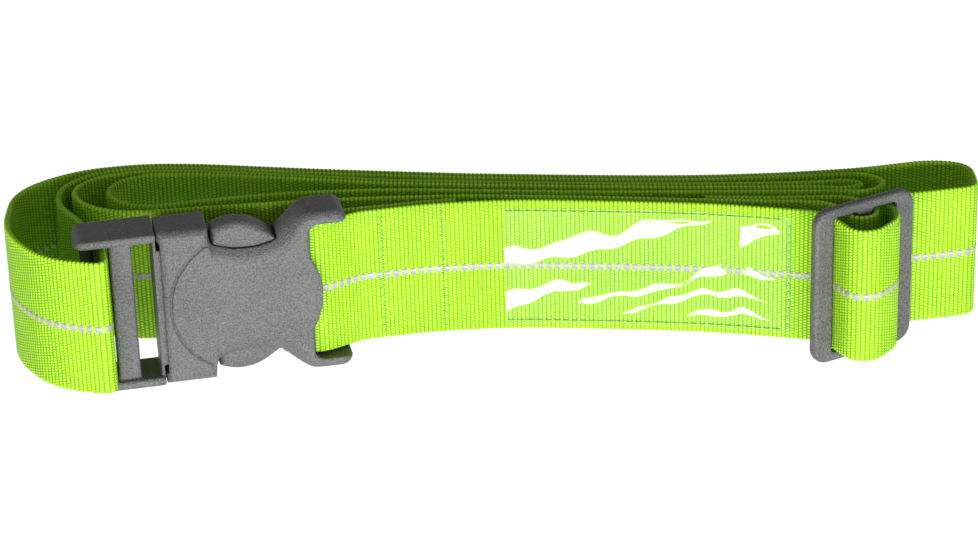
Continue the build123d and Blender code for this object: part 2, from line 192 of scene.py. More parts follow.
def polygon(x, y, points):
    """Signed distance to a closed outline, negative inside."""
    nearest = np.full(np.broadcast(x, y).shape, 1e9)
    inside = np.zeros(nearest.shape, bool)
    points = [np.array(p, float) for p in points]
    for a, b in zip(points, points[1:] + points[:1]):
        edge = b - a
        share = np.clip(((x - a[0]) * edge[0] + (y - a[1]) * edge[1]) / (edge @ edge + 1e-12), 0, 1)
        away = np.hypot(x - a[0] - share * edge[0], y - a[1] - share * edge[1])
        nearest = np.minimum(nearest, away)
        if a[1] != b[1]:
            crosses = (a[1] > y) != (b[1] > y)
            inside ^= crosses & (x < a[0] + (y - a[1]) * edge[0] / edge[1])
    return np.where(inside, -nearest, nearest)


def arc(start, middle, end, steps=14):
    """Points on the circle through three points, from start to end."""
    (ax, ay), (bx, by), (cx, cy) = start, middle, end
    d = 2 * (ax * (by - cy) + bx * (cy - ay) + cx * (ay - by))
    a2, b2, c2 = ax * ax + ay * ay, bx * bx + by * by, cx * cx + cy * cy
    x = (a2 * (by - cy) + b2 * (cy - ay) + c2 * (ay - by)) / d
    y = (a2 * (cx - bx) + b2 * (ax - cx) + c2 * (bx - ax)) / d
    radius = np.hypot(ax - x, ay - y)
    first = atan2(ay - y, ax - x)
    turn_mid = (atan2(by - y, bx - x) - first) % (2 * pi)
    turn_end = (atan2(cy - y, cx - x) - first) % (2 * pi)
    if turn_mid > turn_end:
        turn_end -= 2 * pi
    angles = first + turn_end * np.linspace(0, 1, steps)
    return [(x + radius * cos(angle), y + radius * sin(angle)) for angle in angles]


def surface(field, low, high, step):
    """Points and faces of the surface where a field of (u, v, n) is zero, one point a cell."""
    axes = [np.arange(a, b + step, step) for a, b in zip(low, high)]
    value = field(*np.meshgrid(*axes, indexing="ij", sparse=True))
    shape = np.array(value.shape)
    total = np.zeros((*(shape - 1), 3))
    count = np.zeros(shape - 1)
    faces = []
    crossings = []
    for axis in range(3):
        a = np.take(value, range(0, shape[axis] - 1), axis)
        b = np.take(value, range(1, shape[axis]), axis)
        at = np.argwhere((a < 0) != (b < 0))
        va, vb = a[tuple(at.T)], b[tuple(at.T)]
        place = at.astype(float)
        place[:, axis] += va / (va - vb)
        crossings.append((axis, at, va < 0))
        for side in range(4):
            cell = at.copy()
            cell[:, (axis + 1) % 3] -= side & 1
            cell[:, (axis + 2) % 3] -= side >> 1
            good = ((cell >= 0) & (cell < shape - 1)).all(1)
            np.add.at(total, tuple(cell[good].T), place[good])
            np.add.at(count, tuple(cell[good].T), 1)
    used = count > 0
    number = np.full(count.shape, -1)
    number[used] = np.arange(used.sum())
    points = total[used] / count[used][:, None] * step + np.array(low)
    for axis, at, leaving in crossings:
        ring = []
        for du, dv in ((0, 0), (1, 0), (1, 1), (0, 1)):
            cell = at.copy()
            cell[:, (axis + 1) % 3] -= du
            cell[:, (axis + 2) % 3] -= dv
            ring.append(number[tuple(cell.T)])
        quads = np.stack(ring, 1)
        quads[~leaving] = quads[~leaving][:, ::-1]
        faces.append(quads)
    return points, np.concatenate(faces)


def moulding(name, field, place, low, high, step=0.36):
    """A moulded piece from its field in a local frame."""
    points, faces = surface(field, low, high, step)
    return new_object(name, place.bench(points), faces)


# ------------------------------------------------------------------ materials


def material(name):
    made = bpy.data.materials.new(name)
    made.use_nodes = True
    return made, made.node_tree, made.node_tree.nodes["Principled BSDF"]


def feed(tree, sockets, values):
    """Links each socket to the output given for it, or sets it to a constant."""
    for socket, value in zip(sockets, values):
        if isinstance(value, bpy.types.NodeSocket):
            tree.links.new(value, socket)
        else:
            socket.default_value = value


def set_inputs(tree, shader, values):
    """Sets or links the inputs of a node by their names."""
    feed(tree, [shader.inputs[name] for name in values], values.values())


def node(tree, kind, **inputs):
    """A shader node with some of its inputs set or linked."""
    made = tree.nodes.new(kind)
    set_inputs(tree, made, inputs)
    return made


def maths(tree, operation, *values):
    made = tree.nodes.new("ShaderNodeMath")
    made.operation = operation
    feed(tree, made.inputs, values)
    return made.outputs[0]


def mixed(tree, share, first, second):
    """One colour mixed into another by a share."""
    made = tree.nodes.new("ShaderNodeMix")
    made.data_type = "RGBA"
    feed(tree, (made.inputs[0], made.inputs[6], made.inputs[7]), (share, first, second))
    return made.outputs[2]


def bump(tree, height, distance, strength=1.0):
    made = node(tree, "ShaderNodeBump", Height=height, Distance=distance, Strength=strength)
    return made.outputs[0]


# Scales of the noises are repeats a metre; depths of the bumps are in metres
FIBRE_SCALE = 900.0
CLOUD_SCALE = 60.0
WEAVE_DEPTH = 0.00022
FIBRE_DEPTH = 0.00005
GRAIN_SCALE = 2600.0
SPECK_SCALE = 2200.0
BLOTCH_SCALE = 45.0
GRAIN_DEPTH = 0.00018
BEAD_SCALE = 3200.0
BEAD_DEPTH = 0.00004


def woven_material(name, painted_valley_shade, crest, thread_colour, sheen):
    """Ribbed webbing: warp threads that float over the ribs and dip between them, with shade
    painted into the colour of the dips.
    """
    made, tree, shader = material(name)
    weave = tree.nodes.new("ShaderNodeAttribute")
    weave.attribute_name = "weave"
    parts = node(tree, "ShaderNodeSeparateXYZ", Vector=weave.outputs["Vector"])
    rib, thread, band = parts.outputs
    rib_wave = maths(tree, "ABSOLUTE", maths(tree, "SINE", maths(tree, "MULTIPLY", rib, pi)))
    # Each rib's threads are shifted by half a thread against the rib before it
    brick = maths(tree, "MULTIPLY", maths(tree, "MODULO", maths(tree, "FLOOR", rib), 2.0), 0.5)
    across = maths(tree, "SINE", maths(tree, "MULTIPLY", maths(tree, "ADD", thread, brick), pi))
    across = maths(tree, "ABSOLUTE", across)
    height = maths(tree, "MULTIPLY", maths(tree, "POWER", across, 0.5), rib_wave)
    coordinates = tree.nodes.new("ShaderNodeTexCoord").outputs["Object"]
    noise = node(tree, "ShaderNodeTexNoise", Vector=coordinates, Scale=FIBRE_SCALE)
    cloud = node(tree, "ShaderNodeTexNoise", Vector=coordinates, Scale=CLOUD_SCALE)
    # The share of the crest's colour: low between threads and ribs, where it paints shade into the
    # dips, and a little uneven
    share = maths(tree, "ADD", 0.22, maths(tree, "MULTIPLY", across, 0.82))
    share = maths(tree, "MULTIPLY", share, maths(tree, "POWER", rib_wave, 0.7))
    for uneven in (cloud, noise):
        share = maths(tree, "ADD", share, maths(tree, "MULTIPLY", uneven.outputs[0], 0.25))
    share = maths(tree, "SUBTRACT", share, 0.22)
    # Painted shade: the first colour, dark, fills the dips between ribs and threads
    weave_colour_with_painted_shade = mixed(tree, share, painted_valley_shade, crest)
    fibres = node(
        tree,
        "ShaderNodeBump",
        Height=noise.outputs[0],
        Distance=FIBRE_DEPTH,
        Strength=0.6,
        Normal=bump(tree, height, WEAVE_DEPTH),
    )
    looks = {
        "Base Color": mixed(tree, band, weave_colour_with_painted_shade, thread_colour),
        "Roughness": maths(tree, "ADD", 0.48, maths(tree, "MULTIPLY", noise.outputs[0], 0.22)),
        "Normal": fibres.outputs[0],
        "Sheen Weight": sheen,
        "Sheen Roughness": 0.4,
        "Sheen Tint": thread_colour,
        "Specular IOR Level": 0.3,
    }
    set_inputs(tree, shader, looks)
    return made


def plastic_material(name, dark, light):
    """Moulded plastic with a fine sandblasted grain and paler rubbed patches."""
    made, tree, shader = material(name)
    coordinates = tree.nodes.new("ShaderNodeTexCoord").outputs["Object"]
    grain = node(tree, "ShaderNodeTexNoise", Vector=coordinates, Scale=GRAIN_SCALE, Detail=3.0)
    blotch = node(tree, "ShaderNodeTexNoise", Vector=coordinates, Scale=BLOTCH_SCALE, Detail=4.0)
    speck = node(tree, "ShaderNodeTexVoronoi", Vector=coordinates, Scale=SPECK_SCALE)
    tone = maths(tree, "MULTIPLY", grain.outputs[0], 2.0)
    tone = maths(tree, "ADD", tone, maths(tree, "MULTIPLY", blotch.outputs[0], 0.6))
    tone = maths(tree, "SUBTRACT", tone, 0.8)
    height = maths(tree, "ADD", grain.outputs[0], maths(tree, "MULTIPLY", speck.outputs[0], 0.8))
    looks = {
        "Base Color": mixed(tree, tone, dark, light),
        "Roughness": maths(tree, "ADD", 0.36, maths(tree, "MULTIPLY", blotch.outputs[0], 0.22)),
        "Normal": bump(tree, height, GRAIN_DEPTH),
        "Specular IOR Level": 0.5,
    }
    set_inputs(tree, shader, looks)
    return made


def tracer_material():
    """Reflective grey tape of fine glass beads."""
    made, tree, shader = material("reflective_tracer")
    coordinates = tree.nodes.new("ShaderNodeTexCoord").outputs["Object"]
    beads = node(tree, "ShaderNodeTexVoronoi", Vector=coordinates, Scale=BEAD_SCALE)
    tone = node(tree, "ShaderNodeTexNoise", Vector=coordinates, Scale=400.0)
    looks = {
        "Base Color": mixed(tree, tone.outputs[0], (0.24, 0.25, 0.25, 1), (0.44, 0.44, 0.45, 1)),
        "Roughness": 0.42,
        "Metallic": 0.15,
        "Normal": bump(tree, beads.outputs[0], BEAD_DEPTH, 0.6),
    }
    set_inputs(tree, shader, looks)
    return made


def film_material():
    """Clear flexible vinyl, glossy."""
    made = bpy.data.materials.new("clear_vinyl")
    made.use_nodes = True
    tree = made.node_tree
    tree.nodes.remove(tree.nodes["Principled BSDF"])
    coordinates = tree.nodes.new("ShaderNodeTexCoord").outputs["Object"]
    ripple = node(tree, "ShaderNodeTexNoise", Vector=coordinates, Scale=35.0, Detail=1.0)
    normal = bump(tree, ripple.outputs[0], 0.0004, 0.3)
    clear = node(tree, "ShaderNodeBsdfTransparent", Color=(0.99, 0.995, 0.99, 1))
    gloss = node(
        tree, "ShaderNodeBsdfAnisotropic", Color=(1, 1, 1, 1), Roughness=0.06, Normal=normal
    )
    # Only the outer side of the film reflects; its inner side lets everything through
    fresnel = node(tree, "ShaderNodeFresnel", IOR=1.65, Normal=normal)
    inner_side = tree.nodes.new("ShaderNodeNewGeometry").outputs["Backfacing"]
    outer_side = maths(tree, "SUBTRACT", 1.0, inner_side)
    share = maths(tree, "MULTIPLY", fresnel.outputs[0], outer_side)
    blend = tree.nodes.new("ShaderNodeMixShader")
    feed(tree, blend.inputs, (share, clear.outputs[0], gloss.outputs[0]))
    tree.links.new(blend.outputs[0], tree.nodes["Material Output"].inputs["Surface"])
    return made


# The first colour of each woven finish is painted shade for the dips between ribs and threads
WEBBING = woven_material(
    "lime_webbing", (0.05, 0.26, 0.001, 1), (0.47, 0.84, 0.022, 1), (0.46, 0.58, 0.13, 1), 0.02
)
THREAD = woven_material(
    "pale_thread", (0.30, 0.58, 0.06, 1), (0.55, 0.86, 0.16, 1), (0.95, 1.0, 0.8, 1), 0.4
)
TRACER = tracer_material()
PLASTIC = plastic_material("moulded_plastic", (0.024, 0.025, 0.024, 1), (0.15, 0.155, 0.15, 1))
FILM = film_material()


def finish_piece(obj, looks, body=None, replaces=()):
    """Materials, material slot, body and the CAD nodes a piece stands for."""
    for look in looks:
        obj.data.materials.append(look)
    if body:
        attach(obj, body)
    if replaces:
        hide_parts(*replaces)
    return obj


# ------------------------------------------------------------------ route of the webbing
# Corners of the centre line, seen from above, as in the CAD


def seen_from_above(place, *points):
    placed = place.bench([(along, 0, front) for along, front in points])
    return [(x, y) for x, y, _ in placed]


def on_run(start, end, x):
    share = (x - start[0]) / (end[0] - start[0])
    return (x, start[1] + share * (end[1] - start[1]))


def shifted(points, back):
    return [(x, y + back) for x, y in points]


def by_buckle(*points):
    return [(BUCKLE_AT[0] + dx, y) for dx, y in points]


def by_slider(*points):
    return [(SLIDER_AT[0] + dx, y) for dx, y in points]


LEFT_CUT = -10.0
RIGHT_CUT = SLIDER_AT[0] - 17.0
OUTER_MIDDLE = [(57.0, 17.0), (30.0, 19.0), (-4.0, 22.6), (-42.0, 27.9)]
OUTER_RIGHT = by_slider((31.4, 5.8), (31.2, 19.5), (21.0, 22.2), (2.0, 18.5), (-19.0, 17.1))
OUTER_LEFT = by_buckle(
    (9.0, 34.0), (-6.0, 35.2), (-24.0, 32.4), (-39.3, 21.0), (-39.7, -3.0), (-28.0, -19.8)
)
SECOND_MIDDLE = shifted(OUTER_MIDDLE, -PITCH)
SECOND_LEFT = by_buckle(
    (9.0, 34.0 - PITCH), (-6.0, 35.2 - PITCH), (-19.5, 30.9), (-27.4, 22.6), (-27.0, 12.4)
)
SECOND_FOLD = by_slider((-10.0, 15.6), (3.0, 16.0), (8.6, 10.6), (4.0, 5.2), (-10.0, 5.9))
THIRD_MIDDLE = [(58.0, 12.3), (25.0, 15.0), (-25.0, 20.6), (-42.0, 23.9)]
THIRD_FOLD = by_slider((-10.0, 11.4), (-2.0, 12.2), (3.4, 9.7), (-2.0, 7.4), (-10.0, 8.6))
THIRD_LEFT = by_buckle(
    (9.0, 34.0 - 2 * PITCH),
    (-6.0, 35.2 - 2 * PITCH),
    (-18.0, 28.6),
    (-24.4, 21.0),
    (-20.8, 12.0),
    (-12.0, 6.7),
    (-2.0, 6.2),
    (16.0, 7.9),
)
FOURTH_MIDDLE = shifted(THIRD_MIDDLE, -PITCH)
FOURTH_LEFT = by_buckle(
    (9.0, 34.0 - 3 * PITCH),
    (-4.0, 35.0 - 3 * PITCH),
    (-12.2, 25.4),
    (-14.8, 19.4),
    (-11.0, 12.2),
    (-2.5, 9.0),
    (13.0, 12.3),
)
FIFTH_MIDDLE = [(58.0, 7.7), (25.0, 9.9), (-25.0, 15.1), (-49.0, 15.2)]
SIXTH_MIDDLE = [(58.0, 2.5), (25.0, 6.9), (-5.0, 9.8), (-28.0, 10.3), (-49.0, 9.7)]
FRONT_RUN = [(-34.0, 1.9), (-16.0, 5.2), (6.0, 6.3), (36.0, 3.0), (58.0, 0.2)]
RETURN_END_X = -8.0

slot_gap = (SLIDER_LENGTH - 2 * SLIDER_SIDE_BAR - SLIDER_BAR) / 2
bridge_side = SLIDER_BAR / 2 + slot_gap - WEB_THICK / 2 - 0.5
anchor_side = SLIDER_BAR / 2 + WEB_THICK / 2 + 0.9
anchor_front = SLIDER_THICK / 2 + WEB_THICK / 2 + 1.0
BRIDGE_FOOT, ANCHOR_FOOT, TAIL_FOOT, BRIDGE_EXIT = seen_from_above(
    slider, (-bridge_side, -4.8), (-anchor_side, -9.4), (anchor_side, -8.6), (bridge_side, -5.2)
)
FRONT_EXIT = on_run(FRONT_RUN[-1], BRIDGE_FOOT, RIGHT_CUT)
SIXTH_EXIT = on_run(SIXTH_MIDDLE[0], ANCHOR_FOOT, RIGHT_CUT)
TAIL_MIDDLE = (70.0, 3.2)
TAIL_EXIT = on_run(TAIL_MIDDLE, TAIL_FOOT, RIGHT_CUT)


def on_front_run(x):
    corners = FRONT_RUN + [FRONT_EXIT]
    start, end = next(run for run in zip(corners, corners[1:]) if run[0][0] <= x <= run[1][0])
    return on_run(start, end, x)


bar_front = BAR_THICK / 2 + WEB_THICK / 2 + 0.7
bar_left = BAR_AT - BAR_LENGTH / 2 - WEB_THICK / 2 - 0.3
loop_start = seen_from_above(buckle, (bar_left + 4.6, bar_front), (bar_left, bar_front))
loop_end = seen_from_above(buckle, (bar_left, -bar_front), (bar_left + 4.6, -bar_front))
front_cut = on_run(FRONT_RUN[0], FRONT_RUN[1], -30.0)
behind_front = shifted([on_front_run(x) for x in (-27.0, -16.0, RETURN_END_X)], PITCH)
first_slot = OUTER_BAR_AT + BAR_LENGTH / 2 + WEB_THICK / 2 + 1.3
wrap_head, wrap_start = seen_from_above(buckle, (first_slot, 13.5), (first_slot, 6.0))
wrap_corners = seen_from_above(
    buckle, (first_slot, -bar_front), (first_slot - 4.1, -bar_front), (first_slot - 3.4, -13.0)
)
wrap_end = on_run(wrap_corners[1], wrap_corners[2], (wrap_corners[1][0] + wrap_corners[2][0]) / 2)
LOOP_CORNER = by_slider((21.0, 3.8))[0]
exit_cut = on_run(BRIDGE_EXIT, LOOP_CORNER, SLIDER_AT[0] + 12.0)
loop_cut = on_run(LOOP_CORNER, OUTER_RIGHT[0], SLIDER_AT[0] + 26.0)
back_cut = on_run(OUTER_RIGHT[4], OUTER_RIGHT[3], RIGHT_CUT + 6)
outer_cut = on_run(OUTER_MIDDLE[2], OUTER_MIDDLE[3], LEFT_CUT)
second_cut = on_run(SECOND_MIDDLE[2], SECOND_MIDDLE[3], LEFT_CUT)
third_cut = on_run(THIRD_MIDDLE[1], THIRD_MIDDLE[2], LEFT_CUT)
fourth_cut = on_run(FOURTH_MIDDLE[1], FOURTH_MIDDLE[2], LEFT_CUT)
fifth_cut = on_run(FIFTH_MIDDLE[1], FIFTH_MIDDLE[2], LEFT_CUT)
sixth_cut = on_run(SIXTH_MIDDLE[2], SIXTH_MIDDLE[3], LEFT_CUT)

# Each length of webbing runs the way the strap runs, from its end at the buckle's bar
ROUTES = {
    "buckle_loop": behind_front[::-1]
    + loop_end[::-1]
    + loop_start[::-1]
    + [FRONT_RUN[0], front_cut],
    "front_run": [front_cut] + FRONT_RUN[1:] + [FRONT_EXIT],
    "slider_bridge": [FRONT_EXIT, BRIDGE_FOOT]
    + seen_from_above(slider, (-bridge_side, 8.8), (-3.0, 11.4), (bridge_side - 0.4, 7.0))
    + [BRIDGE_EXIT, exit_cut],
    "loop_front": [exit_cut, LOOP_CORNER, loop_cut],
    "right_loop": [loop_cut] + OUTER_RIGHT[:4] + [back_cut],
    "outer_back_run": [back_cut, OUTER_RIGHT[4]] + OUTER_MIDDLE[:3] + [outer_cut],
    "left_loop_outer": [outer_cut, OUTER_MIDDLE[3]] + OUTER_LEFT + [wrap_head, wrap_start],
    "male_bar_wrap": [wrap_start] + wrap_corners[:2] + [wrap_end],
    "left_loop_second": [wrap_end, wrap_corners[2]]
    + SECOND_LEFT[::-1]
    + [SECOND_MIDDLE[3], second_cut],
    "middle_fold_second": [second_cut]
    + SECOND_MIDDLE[2::-1]
    + SECOND_FOLD
    + FIFTH_MIDDLE[:2]
    + [fifth_cut],
    "left_loop_inner": [fifth_cut]
    + FIFTH_MIDDLE[2:]
    + FOURTH_LEFT[::-1]
    + FOURTH_MIDDLE[:1:-1]
    + [fourth_cut],
    "middle_fold_third": [fourth_cut]
    + FOURTH_MIDDLE[1::-1]
    + THIRD_FOLD[::-1]
    + THIRD_MIDDLE[:2]
    + [third_cut],
    "left_loop_third": [third_cut]
    + THIRD_MIDDLE[2:]
    + THIRD_LEFT
    + SIXTH_MIDDLE[:2:-1]
    + [sixth_cut],
    "sewn_end_run": [sixth_cut] + SIXTH_MIDDLE[2::-1] + [SIXTH_EXIT],
    "anchor_loop": [SIXTH_EXIT, ANCHOR_FOOT]
    + seen_from_above(slider, (-anchor_side, anchor_front), (anchor_side, anchor_front))
    + [TAIL_FOOT, TAIL_EXIT],
    "sewn_tail": [TAIL_EXIT, TAIL_MIDDLE, (57.0, 2.5 + PITCH + 0.3)],
}

# ------------------------------------------------------------------ webbing

RIB = 1.13                # one transverse rib
RIB_DEPTH = 0.17
RIB_FULLNESS = 0.7        # below one, the tops of the ribs are broad
SELVEDGE_DEPTH = 0.16864
SELVEDGE_TWIST = 1.3      # slant of the rope-like edge
THREAD_PITCH = 0.8        # one warp thread
TRACER_HALF = 0.95
TRACER_PROUD = 0.07
ROWS_PER_RIB = 4
FRONT_DASH = (1, 6)       # first and last raised row of the tracer, in every two ribs
BACK_DASH = (2, 4)
EDGE_STEPS = 6
FLAT_STEPS = 10
ON_FACE = 0.999           # a section point is on a flat face when it is this far out
BEND_SHARE = 0.45
FINE = 0.2                # spacing of the points a route is first worked out at
SOFTEN = 3.0              # length over which a bend starts and ends


def centre_line(corners):
    """Closely spaced points along straight runs joined by arcs, with the bends eased in."""
    corners = [np.array(c, float) for c in corners]
    line = [corners[0]]
    for before, corner, after in zip(corners, corners[1:], corners[2:]):
        run_in, run_out = corner - before, after - corner
        share = BEND_SHARE * min(np.linalg.norm(run_in), np.linalg.norm(run_out))
        start = corner - run_in / np.linalg.norm(run_in) * share
        end = corner + run_out / np.linalg.norm(run_out) * share
        turn = atan2(run_in[0] * run_out[1] - run_in[1] * run_out[0], run_in @ run_out)
        radius = share / tan(abs(turn) / 2)
        side = np.array([-run_in[1], run_in[0]]) / np.linalg.norm(run_in) * (1 if turn > 0 else -1)
        hub = start + side * radius
        steps = max(3, int(abs(turn) * radius / FINE))
        for angle in np.linspace(0, turn, steps + 1):
            spoke = start - hub
            line.append(
                hub
                + (
                    spoke[0] * cos(angle) - spoke[1] * sin(angle),
                    spoke[0] * sin(angle) + spoke[1] * cos(angle),
                )
            )
        assert np.allclose(line[-1], end, atol=1e-6)
    line.append(corners[-1])
    line = np.array(line)
    line = line[np.r_[True, np.linalg.norm(np.diff(line, axis=0), axis=1) > 1e-7]]
    line = spaced(line, FINE)
    reach = int(SOFTEN / FINE / 2)
    ends = np.minimum(np.arange(len(line)), np.arange(len(line))[::-1])
    smooth = line.copy()
    for i in range(1, len(line) - 1):
        half = min(reach, ends[i])
        smooth[i] = line[i - half : i + half + 1].mean(0)
    return smooth


def length_along(line):
    return np.r_[0, np.cumsum(np.linalg.norm(np.diff(line, axis=0), axis=1))]


def evenly(line, count):
    """A number of points, evenly spaced along a line."""
    along = length_along(line)
    places = np.linspace(0, along[-1], count)
    return np.stack([np.interp(places, along, line[:, i]) for i in range(2)], 1)


def spaced(line, step):
    """Points along a line, about a step apart."""
    return evenly(line, max(3, int(round(length_along(line)[-1] / step)) + 1))


def across_web():
    """The cross-section as (height, out, angle round the edge), anticlockwise from front top."""
    flat_end = AXIS_Z - WEB_THICK / 2
    plain = np.linspace(TRACER_HALF + 0.2, flat_end, FLAT_STEPS)
    # Two close points make the step at the tracer's edge
    half = np.r_[0.0, TRACER_HALF - 0.01, TRACER_HALF + 0.02, plain]
    heights = np.r_[-half[:0:-1], half]
    ring = [(h, 1.0, 0.0) for h in heights[::-1]]
    edge = np.linspace(0, pi, EDGE_STEPS + 1)[1:-1]
    ring += [(-flat_end, cos(a), a) for a in edge]
    ring += [(h, -1.0, pi) for h in heights]
    ring += [(flat_end, -cos(a), a + pi) for a in edge]
    return np.array(ring)


SECTION = across_web()


def skin_radius(phase):
    """Half thickness at each row and section point: ribs, and a rope-like selvedge."""
    height, out, angle = SECTION.T
    on_edge = (abs(out) < ON_FACE) | (abs(height) > AXIS_Z - WEB_THICK)
    rib = np.abs(np.sin(pi * phase))[:, None] ** RIB_FULLNESS
    twist = 0.5 + 0.5 * np.sin(2 * pi * phase[:, None] + SELVEDGE_TWIST * angle[None, :])
    dent = np.where(on_edge[None, :], SELVEDGE_DEPTH * (1 - twist), RIB_DEPTH * (1 - rib))
    return WEB_THICK / 2 - dent


def tracer_dashes(rows):
    """The section points of the front band, and the raised dashes on both faces."""
    height, out, _ = SECTION.T
    in_band = (abs(height) < TRACER_HALF) & (abs(out) > ON_FACE)
    on_front = in_band & (out > 0)
    on_back = in_band & (out < 0)
    place = np.arange(rows + 1) % (2 * ROWS_PER_RIB)
    raised = np.zeros((rows + 1, len(SECTION)), bool)
    for (first, last), band in ((FRONT_DASH, on_front), (BACK_DASH, on_back)):
        raised |= ((place >= first) & (place <= last))[:, None] & band[None, :]
    return on_front, raised


def webbing_mesh(name, corners):
    """A length of webbing: ribs across it, a rope-like selvedge and a raised tracer."""
    line = centre_line(corners)
    length = length_along(line)[-1]
    rows = 2 * max(1, int(round(length / RIB / 2))) * ROWS_PER_RIB
    path = evenly(line, rows + 1)
    heading = np.gradient(path, axis=0)
    heading /= np.linalg.norm(heading, axis=1)[:, None]
    outward = np.stack([heading[:, 1], -heading[:, 0]], 1)
    phase = np.arange(rows + 1) / ROWS_PER_RIB
    height, out, _ = SECTION.T
    radius = skin_radius(phase)
    on_front, raised = tracer_dashes(rows)
    proud = np.sign(out)[None, :] * (WEB_THICK / 2 + TRACER_PROUD)
    depth = np.where(raised, proud, radius * out[None, :])
    sideways = np.sign(height) * np.sqrt(np.clip(1 - out**2, 0, 1))
    count = len(SECTION)
    points = np.zeros((rows + 1, count, 3))
    points[..., :2] = path[:, None, :] + depth[..., None] * outward[:, None, :]
    points[..., 2] = AXIS_Z + height[None, :] + radius * sideways[None, :]
    row, column = np.meshgrid(np.arange(rows), np.arange(count), indexing="ij")
    here = row * count + column
    beside = row * count + (column + 1) % count
    faces = np.stack([here, here + count, beside + count, beside], -1).reshape(-1, 4)
    obj = new_object(name, points.reshape(-1, 3), faces)
    grey = raised[:-1] & raised[1:]
    grey = grey & np.roll(grey, -1, axis=1)
    slots = grey[row, column].reshape(-1).astype(np.int32)
    obj.data.polygons.foreach_set("material_index", slots)
    # Place in the weave, for the material: rib, thread, and the band between the tracer's dashes
    weave = obj.data.attributes.new("weave", "FLOAT_VECTOR", "POINT")
    values = np.zeros((rows + 1, count, 3))
    values[..., 0] = phase[:, None]
    values[..., 1] = height[None, :] / THREAD_PITCH
    values[..., 2] = on_front[None, :] & ~raised
    weave.data.foreach_set("vector", values.reshape(-1).astype(np.float32))
    close_ends(obj, rows, count)
    obj["length_mm"] = float(length)
    return obj


def close_ends(obj, rows, count):
    """Closes the two ends of a length of webbing with rows of quads."""
    made = bmesh.new()
    made.from_mesh(obj.data)
    made.verts.ensure_lookup_table()
    face_points = (count - 2 * (EDGE_STEPS - 1)) // 2
    for first, turned in ((0, False), (rows * count, True)):
        for i in range(face_points - 1):
            front = (first + i, first + i + 1)
            back = first + 2 * face_points + (EDGE_STEPS - 1) - 1 - i
            quad = [made.verts[k] for k in (front[0], front[1], back - 1, back)]
            made.faces.new(quad[::-1] if turned else quad)
        for corner in (face_points - 1, 2 * face_points + EDGE_STEPS - 2):
            fan = [made.verts[first + (corner + k) % count] for k in range(EDGE_STEPS + 1)]
            made.faces.new(fan[::-1] if turned else fan)
    made.to_mesh(obj.data)
    made.free()
    obj.data.update()


# What each length rides on: a body, or two bodies and the bench x where the bend runs; a length
# given two bodies is neither attached nor bent
PACK_BEND = ("root", "male_half", LEFT_CUT, -95.0)
BODIES = {
    "buckle_loop": "root",
    "front_run": ("root", "slider", 72.0, RIGHT_CUT),
    "slider_bridge": "slider",
    "loop_front": ("root", "slider", loop_cut[0], exit_cut[0]),
    "right_loop": "root",
    "outer_back_run": "root",
    "left_loop_outer": PACK_BEND,
    "male_bar_wrap": "male_half",
    "left_loop_second": PACK_BEND,
    "middle_fold_second": "root",
    "left_loop_inner": PACK_BEND,
    "middle_fold_third": "root",
    "left_loop_third": PACK_BEND,
    "sewn_end_run": ("root", "slider", 66.0, RIGHT_CUT),
    "anchor_loop": "slider",
    "sewn_tail": "slider",
}


def settle(obj, moves):
    """Rides on one body; a length given two bodies is only baked where it lies."""
    if isinstance(moves, str):
        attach(obj, moves)
        return
    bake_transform(obj)


def make_webbing():
    for name, corners in ROUTES.items():
        piece = webbing_mesh(name + "_webbing", corners)
        finish_piece(piece, [WEBBING, TRACER], replaces=[name])
        settle(piece, BODIES[name])


make_webbing()

# ------------------------------------------------------------------ buckle, female half

SCOOP_ROUND = 6.3
EDGE_ROUND = 2.6
LIP_END = 39.3            # front plate, between the horns
DISC_PROUD = 0.14
DISC_HALF = 0.64          # half thickness of the boss, most of it sunk in the body
GROOVE_HALF = 0.26        # half width of the groove round the boss
GROOVE_DEPTH = 0.6
GROOVE_END = 24.0
WINDOW_HALF = 4.1         # half thickness of the hollow at the buttons
WINDOW_AT = 22.4
WINDOW_REACH = 8.7
MOUTH_DEPTH = 6.0
FAR = 60.0                # past the end of the buckle
BUTTON_HALF = 3.7
BUTTON_ROUND = 2.4
ARM_ROUND = 0.4
FACE = BUCKLE_THICK / 2


def female_outline():
    top = BUCKLE_HALF + HORN_RISE
    upper = [(0, BUCKLE_HALF), (COLLAR_LENGTH, BUCKLE_HALF)]
    upper += arc((COLLAR_LENGTH + 0.6, BUCKLE_HALF - 3.4), (21.5, 16.2), (31.0, 17.8), 20)
    upper += arc((32.5, 18.8), (35.0, 20.9), (38.6, top - 0.2), 8)
    upper += [(42.0, top), (46.0, top)]
    upper += arc((46.5, top), (48.6, top - 0.9), (HORN_END, SLOT_HALF), 8)
    return upper + [(x, -y) for x, y in upper[::-1]]


